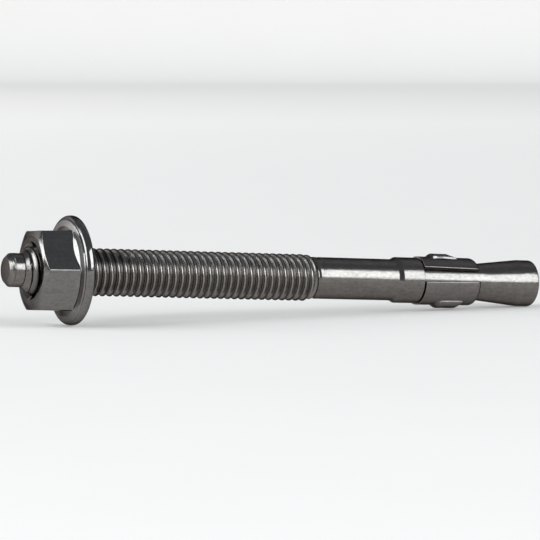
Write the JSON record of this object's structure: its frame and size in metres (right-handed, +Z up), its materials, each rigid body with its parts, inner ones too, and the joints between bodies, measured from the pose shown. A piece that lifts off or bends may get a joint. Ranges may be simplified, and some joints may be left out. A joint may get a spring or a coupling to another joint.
{
  "type": "wedge anchor",
  "caption": "Torque-controlled wedge anchor for concrete: threaded stud with expansion cone, rolled expansion clip and hexagon flange nut.",
  "frame": {"origin": "bottom centre of the anchor's box, on the ground plane that the nut's flange rim and the cone's rim touch", "axes": "+X along the stud from the impact pin towards the expansion cone, +Z up; the stud's axis dips towards the cone by 3.26 degrees"},
  "size_m": [0.097, 0.0176, 0.0176],
  "materials": {
    "stud_steel": "satin cold-formed stainless steel with a rolled thread",
    "clip_steel": "satin rolled stainless sheet",
    "nut_steel": "smooth cold-formed stainless steel"
  },
  "bodies": {
    "stud": {"anchor_bolt": "stud_steel"},
    "clip": {"expansion_clip": "clip_steel"},
    "nut": {"flange_nut": "nut_steel"}
  },
  "joints": [
    {"name": "nut_travel", "type": "slide", "parent": "stud", "child": "nut", "axis": [0.9984, 0, -0.0569], "range_m": [-0.005, 0.04]},
    {"name": "clip_turn", "type": "hinge", "parent": "stud", "child": "clip", "pos_m": [0.03162, 0, 0.00489], "axis": [0.9984, 0, -0.0569], "continuous": true}
  ]
}
